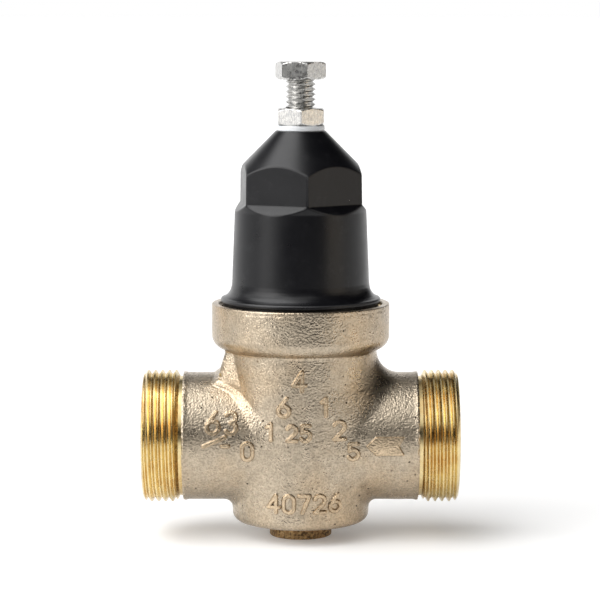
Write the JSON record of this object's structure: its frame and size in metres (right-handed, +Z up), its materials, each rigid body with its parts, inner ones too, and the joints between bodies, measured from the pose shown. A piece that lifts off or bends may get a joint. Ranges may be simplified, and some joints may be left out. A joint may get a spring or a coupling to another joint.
{
  "type": "pressure reducing valve",
  "caption": "Direct-acting water pressure reducing valve with in-line union threads, spring bell, adjusting bolt and lock nut.",
  "frame": {"origin": "centre of the bottom plug's face, under the stem axis", "axes": "+Z up the stem to the adjusting bolt, +X out of the inlet port, -X out of the outlet port, +Y across"},
  "size_m": [0.1, 0.0566, 0.1511],
  "materials": {
    "body_casting": "shot-blasted nickel-coloured bronze casting",
    "plug_bronze": "turned bronze",
    "brass_turned": "turned brass",
    "bell_plastic": "satin black glass-filled plastic",
    "cartridge_plastic": "black acetal",
    "bush_plastic": "natural acetal",
    "washer_plastic": "white nylon",
    "fibre": "red fibre",
    "zinc_steel": "bright zinc plate",
    "spring_steel": "oil-tempered spring steel",
    "stainless": "stainless steel",
    "rubber": "moulded rubber"
  },
  "bodies": {
    "valve": {"valve_body": "body_casting", "bottom_plug": "plug_bronze", "bottom_plug_seal": "fibre", "bell_housing": "bell_plastic", "bolt_insert": "brass_turned", "slip_ring": "bush_plastic", "diaphragm": "rubber", "cartridge_body": "cartridge_plastic", "guide_bush": "bush_plastic", "cartridge_o_ring": "rubber", "valve_seat": "stainless", "strainer_screen": "stainless", "adjusting_spring": "spring_steel", "bypass_seat": "brass_turned", "bypass_spring": "spring_steel"},
    "stem_pack": {"stem": "stainless", "disc_holder": "brass_turned", "seat_disc": "rubber", "disc_retainer": "stainless", "disc_nut": "brass_turned", "diaphragm_plate": "stainless", "spring_plate": "zinc_steel", "stem_lock_washer": "stainless", "stem_nut": "zinc_steel"},
    "button": {"spring_button": "zinc_steel"},
    "bolt": {"adjusting_bolt": "zinc_steel"},
    "seal_washer": {"sealing_washer": "washer_plastic"},
    "lock_nut": {"jam_nut": "zinc_steel"},
    "check_ball": {"bypass_ball": "stainless"}
  },
  "joints": [
    {"name": "stem_lift", "type": "slide", "parent": "valve", "child": "stem_pack", "axis": [0, 0, 1], "range_m": [0, 0.003], "stiffness_N_per_m": 2000, "springref_m": -0.001, "deforming": ["diaphragm", "adjusting_spring"]},
    {"name": "button_slide", "type": "slide", "parent": "valve", "child": "button", "axis": [0, 0, 1], "range_m": [-0.0048, 0.004], "deforming": ["adjusting_spring"]},
    {"name": "bolt_turn", "type": "hinge", "parent": "button", "child": "bolt", "pos_m": [0, 0, 0.12], "axis": [0, 0, 1], "range_deg": [-1080, 900]},
    {"name": "nut_lift", "type": "slide", "parent": "valve", "child": "seal_washer", "axis": [0, 0, 1], "range_m": [0, 0.0032]},
    {"name": "nut_turn", "type": "hinge", "parent": "seal_washer", "child": "lock_nut", "pos_m": [0, 0, 0.134], "axis": [0, 0, 1], "range_deg": [0, 720]},
    {"name": "bypass_lift", "type": "slide", "parent": "valve", "child": "check_ball", "axis": [0, 0, -1], "range_m": [0, 0.0012], "stiffness_N_per_m": 60, "springref_m": -0.0005, "deforming": ["bypass_spring"]}
  ],
  "couplings": [
    {"joint": "button_slide", "follows": "bolt_turn", "m_per_rad": 0.00025266},
    {"joint": "nut_lift", "follows": "nut_turn", "m_per_rad": 0.00025266}
  ]
}
